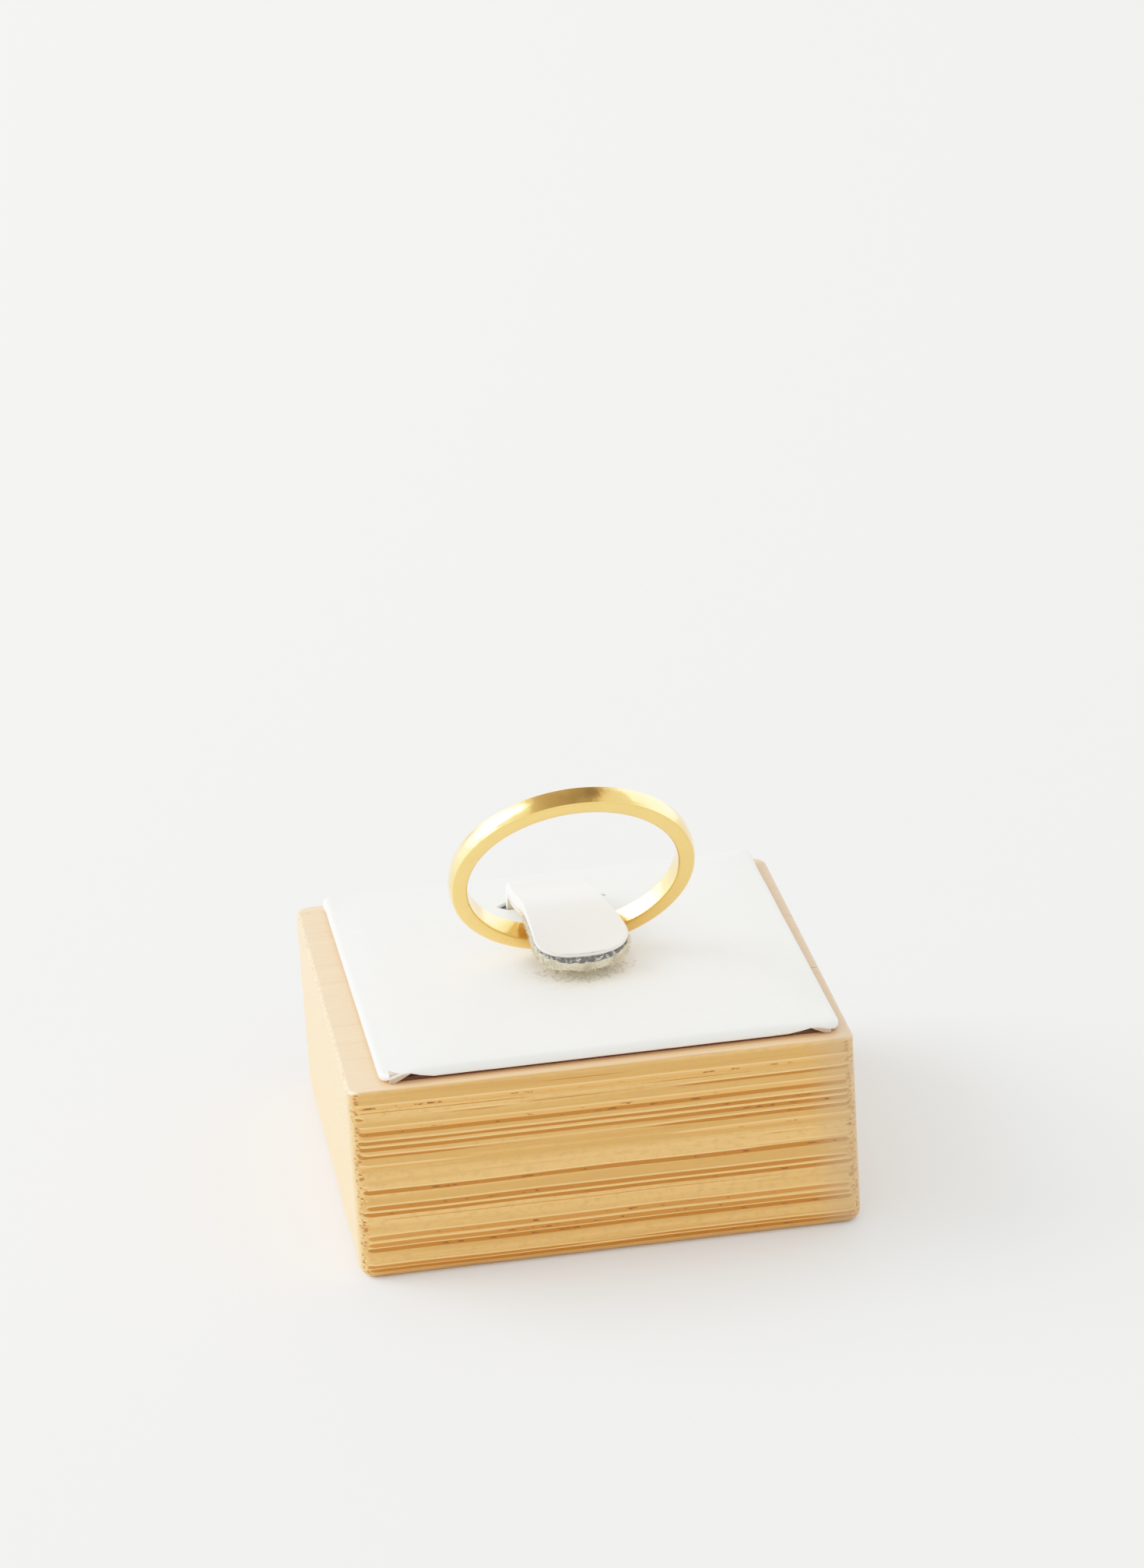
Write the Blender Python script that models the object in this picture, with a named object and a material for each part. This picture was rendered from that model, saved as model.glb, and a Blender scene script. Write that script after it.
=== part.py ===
"""A plain stackable ring held upright on a small bamboo display block.

The block stands on its flat base. A thin pad wrapped in leatherette lies on top of it. A leatherette
tongue comes up out of a slit in the pad, bends forward, passes through the ring and over the lowest
stretch of its band, and ends in a rounded tip just above the pad.

Metres, +Z up. The origin is the middle of the block's underside, +X runs to the right along the
slit, and -Y is the side that the ring leans towards.
"""

import math

import bmesh
import bpy
from mathutils import Matrix, Vector
from mathutils.geometry import interpolate_bezier

MM = 0.001

# Bamboo block
BLOCK_WIDTH = 40.0 * MM
BLOCK_DEPTH = 40.0 * MM
BLOCK_HEIGHT = 16.0 * MM
BLOCK_UPRIGHT_RADIUS = 1.3 * MM
BLOCK_RIM_RADIUS = 0.5 * MM
BLOCK_FOOT_RADIUS = 1.0 * MM

# Leatherette pad, set in from each top edge of the block
PAD_MARGIN_LEFT = 2.55 * MM
PAD_MARGIN_RIGHT = 1.6 * MM
PAD_MARGIN_FRONT = 1.1 * MM
PAD_MARGIN_BACK = 0.9 * MM
PAD_TURN = math.radians(0.55)
PAD_THICKNESS = 0.85 * MM
PAD_CORNER_RADIUS = 1.1 * MM
PAD_LIP_RADIUS = 0.45 * MM

# Ring
RING_BORE = 17.05 * MM
RING_WALL = 1.46 * MM
RING_WIDTH = 1.75 * MM
RING_CROWN = 0.11 * MM
RING_EDGE_RADIUS = 0.18 * MM
RING_LEAN = math.radians(33.0)
RING_TURN = math.radians(0.9)
RING_X = 0.55 * MM
RING_FOOT_Y = 1.2 * MM

# Holding tab and its slit, which share the ring's middle
TAB_WIDTH = 7.1 * MM
TAB_THICKNESS = 1.25 * MM
TAB_EDGE_RADIUS = 0.3 * MM
TAB_BEND_HEIGHT = 1.5 * MM
TAB_BEND_REACH = 1.6 * MM
TAB_TIP_REACH = 5.9 * MM
TAB_TIP_HEIGHT = 0.5 * MM
TAB_TIP_ROUND = 2.8 * MM
TAB_TIP_SHIFT = 0.9 * MM
TAB_SHIFT_LENGTH = 4.8 * MM
SLIT_BEHIND_FOOT = 10.9 * MM
SLIT_WIDTH = 9.1 * MM

# Clearances between pieces that rest on or pass through each other
PAD_SEAT_GAP = 0.25 * MM
RING_SEAT_GAP = 0.25 * MM
SLIT_GAP = 0.3 * MM
TAB_OVER_RING_GAP = 0.25 * MM

# How straight each curve of the tab's side view leaves its ends, as shares of its height or length
BEND_FROM_SLIT = 0.75
BEND_INTO_NECK = 0.7
NECK_AT_BEND = 0.3
NECK_AT_CREST = 0.25
HEAD_AT_CREST = 0.25
HEAD_AT_TIP = 0.45
HEAD_DROP_LEFT = 0.3

# Fineness of the round shapes
BLOCK_UPRIGHT_SEGMENTS = 8
BLOCK_RIM_SEGMENTS = 4
BLOCK_FOOT_SEGMENTS = 5
PAD_CORNER_SEGMENTS = 8
PAD_LIP_SEGMENTS = 4
RING_SIDES = 120
CROWN_STEPS = 6
EDGE_STEPS = 2
TAB_STEPS_PER_CURVE = 12
TAB_ROWS = 36
TAB_TIP_ROWS = 8
TAB_TIP_SWEEP = math.radians(82.0)
TAB_STEPS_ACROSS = 6
TAB_EDGE_SEGMENTS = 2
TAB_SOFT_ABOVE = math.radians(60.0)
SMOOTH_BELOW = math.radians(35.0)
UPRIGHT_ABOVE = 0.99
LEVEL_WITHIN = 0.001 * MM

# Places that follow from the sizes
PAD_BOTTOM = BLOCK_HEIGHT + PAD_SEAT_GAP
PAD_TOP = PAD_BOTTOM + PAD_THICKNESS
RING_FOOT_Z = PAD_TOP + RING_SEAT_GAP
BORE_RADIUS = RING_BORE / 2
RING_RADIUS = BORE_RADIUS + RING_WALL
SHOULDER_RADIUS = RING_RADIUS - RING_CROWN
SLIT_Y = RING_FOOT_Y + SLIT_BEHIND_FOOT


def clear_scene():
    for thing in list(bpy.data.objects):
        bpy.data.objects.remove(thing, do_unlink=True)


def material(name, colour, roughness, metallic):
    made = bpy.data.materials.new(name)
    made.use_nodes = True
    shader = made.node_tree.nodes["Principled BSDF"]
    shader.inputs["Base Color"].default_value = (*colour, 1.0)
    shader.inputs["Roughness"].default_value = roughness
    shader.inputs["Metallic"].default_value = metallic
    made.diffuse_color = (*colour, 1.0)
    return made


def add_object(name, mesh_data, surface):
    """An object of its own from a bmesh, shaded smooth except across sharp edges."""
    mesh = bpy.data.meshes.new(name)
    mesh_data.to_mesh(mesh)
    mesh_data.free()
    mesh.materials.append(surface)
    mesh.shade_smooth()
    mesh.set_sharp_from_angle(angle=SMOOTH_BELOW)
    made = bpy.data.objects.new(name, mesh)
    bpy.context.collection.objects.link(made)
    return made


def box_mesh(width, depth, height):
    """A box on the plane z = 0, centred on the Z axis."""
    made = bmesh.new()
    place = Matrix.Translation((0, 0, height / 2)) @ Matrix.Diagonal((width, depth, height, 1))
    bmesh.ops.create_cube(made, size=1.0, matrix=place)
    return made


def round_edges(mesh_data, chosen, radius, segments):
    bmesh.ops.bevel(
        mesh_data,
        geom=chosen,
        offset=radius,
        offset_type="OFFSET",
        affect="EDGES",
        segments=segments,
        profile=0.5,
        material=-1,
    )


def upright_edges(mesh_data):
    return [e for e in mesh_data.edges if abs((e.verts[0].co - e.verts[1].co).normalized().z) > UPRIGHT_ABOVE]


def rim_edges(mesh_data, height):
    """The edges between a flat face at this height and the walls."""
    return [e for e in mesh_data.edges if all(abs(v.co.z - height) < LEVEL_WITHIN for v in e.verts)]


def build_block(surface):
    wood = box_mesh(BLOCK_WIDTH, BLOCK_DEPTH, BLOCK_HEIGHT)
    round_edges(wood, upright_edges(wood), BLOCK_UPRIGHT_RADIUS, BLOCK_UPRIGHT_SEGMENTS)
    round_edges(wood, rim_edges(wood, BLOCK_HEIGHT), BLOCK_RIM_RADIUS, BLOCK_RIM_SEGMENTS)
    round_edges(wood, rim_edges(wood, 0.0), BLOCK_FOOT_RADIUS, BLOCK_FOOT_SEGMENTS)
    return add_object("bamboo_block", wood, surface)


def build_slit_cutter():
    """A guide box around the root of the tab, which runs past both faces of the pad."""
    overrun = PAD_THICKNESS / 2
    cut = box_mesh(SLIT_WIDTH, TAB_THICKNESS + 2 * SLIT_GAP, PAD_THICKNESS + 2 * overrun)
    mesh = bpy.data.meshes.new("slit_cutter")
    cut.to_mesh(mesh)
    cut.free()
    cutter = bpy.data.objects.new("slit_cutter", mesh)
    bpy.context.collection.objects.link(cutter)
    cutter.location = (RING_X, SLIT_Y, PAD_BOTTOM - overrun)
    cutter.hide_render = True
    cutter.display_type = "WIRE"
    return cutter


def build_pad(surface):
    width = BLOCK_WIDTH - PAD_MARGIN_LEFT - PAD_MARGIN_RIGHT
    depth = BLOCK_DEPTH - PAD_MARGIN_FRONT - PAD_MARGIN_BACK
    sheet = box_mesh(width, depth, PAD_THICKNESS)
    round_edges(sheet, upright_edges(sheet), PAD_CORNER_RADIUS, PAD_CORNER_SEGMENTS)
    round_edges(sheet, rim_edges(sheet, PAD_THICKNESS), PAD_LIP_RADIUS, PAD_LIP_SEGMENTS)
    pad = add_object("leatherette_pad", sheet, surface)
    pad.location = (
        (PAD_MARGIN_LEFT - PAD_MARGIN_RIGHT) / 2,
        (PAD_MARGIN_FRONT - PAD_MARGIN_BACK) / 2,
        PAD_BOTTOM,
    )
    pad.rotation_euler.z = PAD_TURN
    slit = pad.modifiers.new("slit", "BOOLEAN")
    slit.operation = "DIFFERENCE"
    slit.object = build_slit_cutter()
    return pad


def arc_points(centre, radius, start, end, steps):
    """Points of an arc as (distance from the ring's axis, place along it)."""
    turned = [start + (end - start) * i / steps for i in range(steps + 1)]
    return [(centre[0] + radius * math.cos(a), centre[1] + radius * math.sin(a)) for a in turned]


def ring_profile():
    """The band's section: flat bore, four softened edges and a low crown outside."""
    half = RING_WIDTH / 2
    soft = RING_EDGE_RADIUS
    quarter = math.pi / 2
    section = arc_points((BORE_RADIUS + soft, -half + soft), soft, 2 * quarter, 3 * quarter, EDGE_STEPS)
    section += arc_points((SHOULDER_RADIUS - soft, -half + soft), soft, -quarter, 0.0, EDGE_STEPS)
    reach = half - soft
    crown_radius = (reach**2 + RING_CROWN**2) / (2 * RING_CROWN)
    swing = math.asin(reach / crown_radius)
    crown = arc_points((RING_RADIUS - crown_radius, 0.0), crown_radius, -swing, swing, CROWN_STEPS)
    section += crown[1:-1]
    section += arc_points((SHOULDER_RADIUS - soft, half - soft), soft, 0.0, quarter, EDGE_STEPS)
    section += arc_points((BORE_RADIUS + soft, half - soft), soft, quarter, 2 * quarter, EDGE_STEPS)
    return section


def ring_axes():
    """The ring's own directions: to its right, up in its plane, and out of its back."""
    turned = Matrix.Rotation(RING_TURN, 3, "Z")
    right = turned @ Vector((1, 0, 0))
    back = turned @ Vector((0, math.cos(RING_LEAN), math.sin(RING_LEAN)))
    return right, right.cross(back), back


def ring_centre():
    """The middle of the ring, which stands on the rounding of its band's front edge."""
    _, up, back = ring_axes()
    rounding = Vector((RING_X, RING_FOOT_Y, RING_FOOT_Z + RING_EDGE_RADIUS))
    across = SHOULDER_RADIUS - RING_EDGE_RADIUS
    along = RING_WIDTH / 2 - RING_EDGE_RADIUS
    return rounding + up * across + back * along


def build_ring(surface):
    band = bmesh.new()
    corners = [band.verts.new((out, 0.0, along)) for out, along in ring_profile()]
    loop = [band.edges.new((a, b)) for a, b in zip(corners, corners[1:] + corners[:1])]
    bmesh.ops.spin(
        band,
        geom=corners + loop,
        cent=(0, 0, 0),
        axis=(0, 0, 1),
        angle=math.tau,
        steps=RING_SIDES,
        use_merge=True,
    )
    bmesh.ops.recalc_face_normals(band, faces=band.faces)
    ring = add_object("ring_band", band, surface)
    right, up, back = ring_axes()
    turned = Matrix((right, up, back)).transposed()
    ring.matrix_world = Matrix.Translation(ring_centre()) @ turned.to_4x4()
    return ring


def bore_rim(offset):
    """A point on the back edge of the bore, this far to the side of its lowest point."""
    _, up, back = ring_axes()
    return ring_centre() + back * (RING_WIDTH / 2) - up * math.sqrt(BORE_RADIUS**2 - offset**2)


def crest_place():
    """Where the tab's underside clears the ring, as (forward of the slit, height).

    The bore rises to each side, so its back edge at the tab's own edges sets the height.
    """
    rim = bore_rim(TAB_WIDTH / 2)
    return SLIT_Y - TAB_THICKNESS / 2 - rim.y, rim.z + TAB_OVER_RING_GAP


def tab_path():
    """The tab's underside from its root in the slit to its tip, as (forward of the slit, height)."""
    crest, crest_z = crest_place()
    neck = TAB_BEND_REACH
    neck_z = PAD_TOP + TAB_BEND_HEIGHT
    tip = SLIT_BEHIND_FOOT + TAB_TIP_REACH - TAB_THICKNESS / 2
    tip_z = PAD_TOP + TAB_TIP_HEIGHT
    curves = (
        ((0, PAD_BOTTOM), (0, PAD_BOTTOM), (0, PAD_TOP), (0, PAD_TOP)),
        (
            (0, PAD_TOP),
            (0, PAD_TOP + BEND_FROM_SLIT * TAB_BEND_HEIGHT),
            (neck - BEND_INTO_NECK * neck, neck_z),
            (neck, neck_z),
        ),
        (
            (neck, neck_z),
            (neck + NECK_AT_BEND * (crest - neck), neck_z),
            (crest - NECK_AT_CREST * (crest - neck), crest_z),
            (crest, crest_z),
        ),
        (
            (crest, crest_z),
            (crest + HEAD_AT_CREST * (tip - crest), crest_z),
            (tip - HEAD_AT_TIP * (tip - crest), tip_z + HEAD_DROP_LEFT * (crest_z - tip_z)),
            (tip, tip_z),
        ),
    )
    points = [Vector((0, 0, PAD_BOTTOM))]
    for curve in curves:
        knots = [Vector((forward, 0, height)) for forward, height in curve]
        points += interpolate_bezier(*knots, TAB_STEPS_PER_CURVE + 1)[1:]
    return points


def point_along(points, distance):
    """The point of a line of points at this distance from its start."""
    for here, there in zip(points, points[1:]):
        step = (there - here).length
        if distance <= step:
            return here.lerp(there, distance / step)
        distance -= step
    return points[-1].copy()


def tab_rows():
    """Rows across the tab as (point on the path, half width), narrowing round the tip."""
    points = tab_path()
    straight = sum((b - a).length for a, b in zip(points, points[1:])) - TAB_TIP_ROUND
    rows = [(point_along(points, straight * i / TAB_ROWS), TAB_WIDTH / 2) for i in range(TAB_ROWS + 1)]
    for i in range(1, TAB_TIP_ROWS + 1):
        angle = TAB_TIP_SWEEP * i / TAB_TIP_ROWS
        reach = TAB_TIP_ROUND * math.sin(angle) / math.sin(TAB_TIP_SWEEP)
        rows.append((point_along(points, straight + reach), TAB_WIDTH / 2 * math.cos(angle)))
    return rows


def ease(share):
    """A smooth step from 0 to 1."""
    share = min(max(share, 0.0), 1.0)
    return share * share * (3 - 2 * share)


def build_tab(surface):
    """A flat strip, bent along its path and thickened away from the pad."""
    rows = tab_rows()
    shift_start = crest_place()[0] - RING_WIDTH / 2
    strip = bmesh.new()
    bmesh.ops.create_grid(strip, x_segments=TAB_STEPS_ACROSS, y_segments=len(rows) - 1, size=1.0)
    for corner in strip.verts:
        place, half = rows[round((1 - corner.co.y) / 2 * (len(rows) - 1))]
        shift = TAB_TIP_SHIFT * ease((place.x - shift_start) / TAB_SHIFT_LENGTH)
        corner.co = Vector((corner.co.x * half + shift, -place.x, place.z))
    tab = add_object("holding_tab", strip, surface)
    tab.location = (RING_X, SLIT_Y - TAB_THICKNESS / 2, 0)
    thicken = tab.modifiers.new("thickness", "SOLIDIFY")
    thicken.thickness = TAB_THICKNESS
    thicken.offset = 1.0
    thicken.use_even_offset = True
    soften = tab.modifiers.new("soft edges", "BEVEL")
    soften.width = TAB_EDGE_RADIUS
    soften.segments = TAB_EDGE_SEGMENTS
    soften.limit_method = "ANGLE"
    soften.angle_limit = TAB_SOFT_ABOVE
    return tab


def main():
    clear_scene()
    bamboo = material("bamboo", colour=(0.72, 0.47, 0.23), roughness=0.5, metallic=0.0)
    leatherette = material("white leatherette", colour=(0.85, 0.82, 0.76), roughness=0.6, metallic=0.0)
    gold = material("polished gold", colour=(0.95, 0.66, 0.22), roughness=0.12, metallic=1.0)
    build_block(bamboo)
    build_pad(leatherette)
    build_tab(leatherette)
    build_ring(gold)


main()
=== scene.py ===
"""A plain gold stackable ring on its bamboo display block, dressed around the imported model.

The ring, the block, the leatherette-covered pad and the layered holding tab are modelled here with
finer forms and finished with procedural materials. Metres, +Z up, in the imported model's own frame.
"""

import math
import random

import bmesh
import bpy
from bpy.props import FloatProperty, FloatVectorProperty, IntProperty, PointerProperty
from mathutils import Matrix, Vector, noise
from mathutils.geometry import interpolate_bezier


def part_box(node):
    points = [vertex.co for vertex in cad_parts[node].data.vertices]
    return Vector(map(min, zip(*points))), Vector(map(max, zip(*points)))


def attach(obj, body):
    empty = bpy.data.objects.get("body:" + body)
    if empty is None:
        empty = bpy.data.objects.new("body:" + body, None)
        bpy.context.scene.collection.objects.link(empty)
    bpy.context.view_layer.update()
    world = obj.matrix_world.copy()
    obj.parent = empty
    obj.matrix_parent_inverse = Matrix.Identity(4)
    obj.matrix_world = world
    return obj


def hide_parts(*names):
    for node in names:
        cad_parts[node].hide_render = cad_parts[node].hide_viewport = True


bl_info = {
    "name": "Ring on a display block",
    "version": (1, 0, 0),
    "blender": (4, 5, 0),
    "location": "3D View > Sidebar > Ring display",
    "description": "Models and finishes a stackable ring, its bamboo block, covered pad and holding tab",
    "category": "Object",
}

MM = 0.001

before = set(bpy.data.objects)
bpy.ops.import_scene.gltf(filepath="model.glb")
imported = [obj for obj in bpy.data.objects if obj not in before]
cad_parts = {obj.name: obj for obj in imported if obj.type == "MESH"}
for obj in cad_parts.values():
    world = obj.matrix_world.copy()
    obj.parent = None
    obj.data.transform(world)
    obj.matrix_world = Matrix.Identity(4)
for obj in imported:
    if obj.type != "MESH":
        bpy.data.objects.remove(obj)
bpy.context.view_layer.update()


# Sizes and colours that a user may change

class RingSettings(bpy.types.PropertyGroup):
    bore: FloatProperty(
        name="Bore", description="Inside diameter of the band", default=17.05 * MM, unit="LENGTH", precision=5
    )
    wall: FloatProperty(
        name="Wall", description="Thickness of the band at its middle", default=1.46 * MM,
        unit="LENGTH", precision=5
    )
    width: FloatProperty(
        name="Width", description="Width of the band along its axis", default=1.75 * MM,
        unit="LENGTH", precision=5
    )
    crown: FloatProperty(
        name="Crown", description="How far the outside bulges", default=0.11 * MM, unit="LENGTH", precision=5
    )
    edge_radius: FloatProperty(
        name="Edge radius", description="Rounding of the four edges", default=0.21 * MM,
        unit="LENGTH", precision=5
    )
    lean: FloatProperty(
        name="Lean", description="Tilt of the band out of upright", default=math.radians(33.0),
        subtype="ANGLE"
    )
    turn: FloatProperty(
        name="Turn", description="Turn of the band about the upright axis", default=math.radians(0.9),
        subtype="ANGLE"
    )
    gold: FloatVectorProperty(
        name="Gold", description="Colour of the metal", default=(0.98, 0.54, 0.14),
        subtype="COLOR", min=0, max=1
    )
    polish: FloatProperty(
        name="Polish", description="Roughness of the polished metal", default=0.2, min=0, max=1,
        subtype="FACTOR"
    )
    sides: IntProperty(name="Sides", description="Steps round the band", default=288, min=48)


class BlockSettings(bpy.types.PropertyGroup):
    upright_radius: FloatProperty(
        name="Upright rounding", description="Radius of the four upright edges", default=1.3 * MM,
        unit="LENGTH", precision=5
    )
    rim_radius: FloatProperty(
        name="Rim rounding", description="Radius of the top edges", default=0.35 * MM,
        unit="LENGTH", precision=5
    )
    foot_radius: FloatProperty(
        name="Foot rounding", description="Radius of the bottom edges", default=1.0 * MM,
        unit="LENGTH", precision=5
    )
    unevenness: FloatProperty(
        name="Unevenness", description="How far sanding has moved the edges", default=0.05 * MM,
        unit="LENGTH", precision=5
    )
    bundle_spacing: FloatProperty(
        name="Bundle spacing", description="Distance between the wood's fibre bundles", default=0.62 * MM,
        unit="LENGTH", precision=5
    )
    flesh: FloatVectorProperty(
        name="Flesh", description="Colour between the fibres", default=(0.61, 0.277, 0.062),
        subtype="COLOR", min=0, max=1
    )
    pale: FloatVectorProperty(
        name="Pale streaks", description="Colour of the pale streaks", default=(0.8, 0.39, 0.115),
        subtype="COLOR", min=0, max=1
    )
    fibre: FloatVectorProperty(
        name="Fibres", description="Colour of the fibre bundles", default=(0.4, 0.125, 0.0035),
        subtype="COLOR", min=0, max=1
    )


class PadSettings(bpy.types.PropertyGroup):
    top: FloatProperty(
        name="Top", description="Height of the flat top", default=17.22 * MM, unit="LENGTH", precision=5
    )
    underside: FloatProperty(
        name="Underside", description="Height of the cover's folded edge", default=16.3 * MM,
        unit="LENGTH", precision=5
    )
    turn: FloatProperty(
        name="Turn", description="Turn of the pad on the block", default=math.radians(0.55), subtype="ANGLE"
    )
    width: FloatProperty(
        name="Width", description="Size along the slit", default=36.4 * MM, unit="LENGTH", precision=5
    )
    depth: FloatProperty(
        name="Depth", description="Size across the slit", default=38.0 * MM, unit="LENGTH", precision=5
    )
    slit_width: FloatProperty(
        name="Slit width", description="Length of the slit's opening", default=8.8 * MM,
        unit="LENGTH", precision=5
    )
    white: FloatVectorProperty(
        name="White", description="Colour of the leatherette", default=(0.825, 0.83, 0.77),
        subtype="COLOR", min=0, max=1
    )
    backing: FloatVectorProperty(
        name="Backing", description="Colour of the leatherette's back", default=(0.6, 0.43, 0.3),
        subtype="COLOR", min=0, max=1
    )


class TabSettings(bpy.types.PropertyGroup):
    width: FloatProperty(
        name="Width", description="Width of the tongue", default=7.1 * MM, unit="LENGTH", precision=5
    )
    thickness: FloatProperty(
        name="Thickness", description="Thickness of all three layers", default=1.25 * MM,
        unit="LENGTH", precision=5
    )
    skin: FloatProperty(
        name="Skin", description="Thickness of the leatherette on top", default=0.36 * MM,
        unit="LENGTH", precision=5
    )
    core: FloatProperty(
        name="Core", description="Thickness of the dark layer", default=0.27 * MM, unit="LENGTH", precision=5
    )
    tip_round: FloatProperty(
        name="Tip rounding", description="Length of the rounded tip", default=2.8 * MM,
        unit="LENGTH", precision=5
    )
    tip_shift: FloatProperty(
        name="Tip shift", description="How far the tip leans to one side", default=0.9 * MM,
        unit="LENGTH", precision=5
    )
    tip_flare: FloatProperty(
        name="Tip flare", description="How much wider the tip is on its left side", default=0.6 * MM,
        unit="LENGTH", precision=5
    )
    fuzz_hairs: IntProperty(name="Fuzz hairs", description="Loose fibres on the backing", default=1500, min=0)
    skin_white: FloatVectorProperty(
        name="Skin colour", description="Colour of the leatherette", default=(0.83, 0.82, 0.745),
        subtype="COLOR", min=0, max=1
    )
    core_grey: FloatVectorProperty(
        name="Core colour", description="Colour of the dark layer", default=(0.105, 0.105, 0.105),
        subtype="COLOR", min=0, max=1
    )
    felt: FloatVectorProperty(
        name="Felt colour", description="Colour of the fuzzy backing", default=(0.88, 0.8, 0.59),
        subtype="COLOR", min=0, max=1
    )


class StageSettings(bpy.types.PropertyGroup):
    sky: FloatProperty(name="Sky", description="Strength of the even light", default=0.91, min=0)
    key: FloatProperty(name="Key", description="Power of the large soft light in watts", default=13.0, min=0)
    floor: FloatVectorProperty(
        name="Floor", description="Colour of the floor", default=(0.795, 0.81, 0.785),
        subtype="COLOR", min=0, max=1
    )


# Mesh helpers

def round_edges(mesh_data, chosen, radius, segments):
    bmesh.ops.bevel(
        mesh_data,
        geom=chosen,
        offset=radius,
        offset_type="OFFSET",
        affect="EDGES",
        segments=segments,
        profile=0.5,
        material=-1,
    )


def upright_edges(mesh_data):
    return [e for e in mesh_data.edges if abs((e.verts[0].co - e.verts[1].co).normalized().z) > 0.99]


def rim_edges(mesh_data, height):
    return [e for e in mesh_data.edges if all(abs(v.co.z - height) < 0.001 * MM for v in e.verts)]


def rounded_box(low, high, upright, rim, foot, segments):
    """A closed box between two corners with rounded uprights, top rim and foot."""
    made = bmesh.new()
    size = high - low
    place = Matrix.Translation((low + high) / 2) @ Matrix.Diagonal((size.x, size.y, size.z, 1))
    bmesh.ops.create_cube(made, size=1.0, matrix=place)
    round_edges(made, upright_edges(made), upright, segments + 4)
    if rim:
        round_edges(made, rim_edges(made, high.z), rim, segments)
    if foot:
        round_edges(made, rim_edges(made, low.z), foot, segments)
    return made


def slice_across(mesh_data, axis, places):
    """Cuts the mesh's faces along planes across one axis, to give them points to move."""
    normal = Vector((0, 0, 0))
    normal[axis] = 1.0
    for place in places:
        geom = mesh_data.verts[:] + mesh_data.edges[:] + mesh_data.faces[:]
        bmesh.ops.bisect_plane(mesh_data, geom=geom, dist=1e-7, plane_co=normal * place, plane_no=normal)


def fading(distance, reach):
    """A share that falls softly from 1 towards 0 with the distance."""
    return math.exp(-((distance / reach) ** 2))


def evenly(low, high, step):
    count = max(1, round((high - low) / step))
    return [low + (high - low) * i / count for i in range(1, count)]


def linked_object(name, data):
    made = bpy.data.objects.new(name, data)
    bpy.context.scene.collection.objects.link(made)
    return made


def surfaced_object(name, mesh_data, surface):
    """An object at the origin from a mesh in place, with one material."""
    mesh = bpy.data.meshes.new(name)
    mesh_data.to_mesh(mesh)
    mesh_data.free()
    mesh.materials.append(surface)
    return linked_object(name, mesh)


def finished_piece(name, mesh_data, surface, replaced=(), smooth_below=math.radians(42.0)):
    """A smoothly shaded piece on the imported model's body."""
    piece = surfaced_object(name, mesh_data, surface)
    piece.data.shade_smooth()
    piece.data.set_sharp_from_angle(angle=smooth_below)
    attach(piece, "root")
    if replaced:
        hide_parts(*replaced)


def arc_points(centre, radius, start, end, steps):
    turned = [start + (end - start) * i / steps for i in range(steps + 1)]
    return [(centre[0] + radius * math.cos(a), centre[1] + radius * math.sin(a)) for a in turned]


# Material helpers

def new_material(name, colour, roughness, metallic=0.0):
    """A material with its shader and a source of places in millimetres."""
    made = bpy.data.materials.new(name)
    made.use_nodes = True
    tree = made.node_tree
    shader = tree.nodes["Principled BSDF"]
    shader.inputs["Base Color"].default_value = (*colour, 1.0)
    shader.inputs["Roughness"].default_value = roughness
    shader.inputs["Metallic"].default_value = metallic
    made.diffuse_color = (*colour, 1.0)
    place = tree.nodes.new("ShaderNodeTexCoord").outputs["Object"]
    scaled = fed_node("VectorMath", place, 0)
    scaled.operation = "SCALE"
    scaled.inputs["Scale"].default_value = 1 / MM
    return made, tree, shader, scaled.outputs[0]


def fed_node(kind, source, socket, values=()):
    """A node with the source linked to one of its sockets and values set on others."""
    tree = source.id_data
    made = tree.nodes.new("ShaderNode" + kind)
    tree.links.new(source, made.inputs[socket])
    for name, value in dict(values).items():
        made.inputs[name].default_value = value
    return made


def stretched(source, scale, rotation=(0, 0, 0)):
    return fed_node("Mapping", source, "Vector", {"Scale": scale, "Rotation": rotation}).outputs["Vector"]


def noise_at(source, scale=1.0, detail=3.0, roughness=0.55, output="Fac"):
    values = {"Scale": scale, "Detail": detail, "Roughness": roughness}
    return fed_node("TexNoise", source, "Vector", values).outputs[output]


def cells_at(source, scale):
    return fed_node("TexVoronoi", source, "Vector", {"Scale": scale})


def spread(source, low, high, to_low=0.0, to_high=1.0):
    """The value between two limits, drawn smoothly onto another range."""
    limits = {"From Min": low, "From Max": high, "To Min": to_low, "To Max": to_high}
    made = fed_node("MapRange", source, "Value", limits)
    made.interpolation_type = "SMOOTHSTEP"
    return made.outputs["Result"]


def maths(operation, first, second):
    """A node's output worked together with a number or another node's output."""
    made = fed_node("Math", first, 0)
    made.operation = operation
    if isinstance(second, (int, float)):
        made.inputs[1].default_value = second
    else:
        first.id_data.links.new(second, made.inputs[1])
    return made.outputs[0]


def times(first, second):
    return maths("MULTIPLY", first, second)


def axes_of(source):
    """The X, Y and Z of a place or a direction, as three outputs."""
    return fed_node("SeparateXYZ", source, 0).outputs


def away_from(source, middle):
    """How far a place is from a middle."""
    made = fed_node("VectorMath", source, 0)
    made.operation = "DISTANCE"
    made.inputs[1].default_value = middle
    return made.outputs["Value"]


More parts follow.
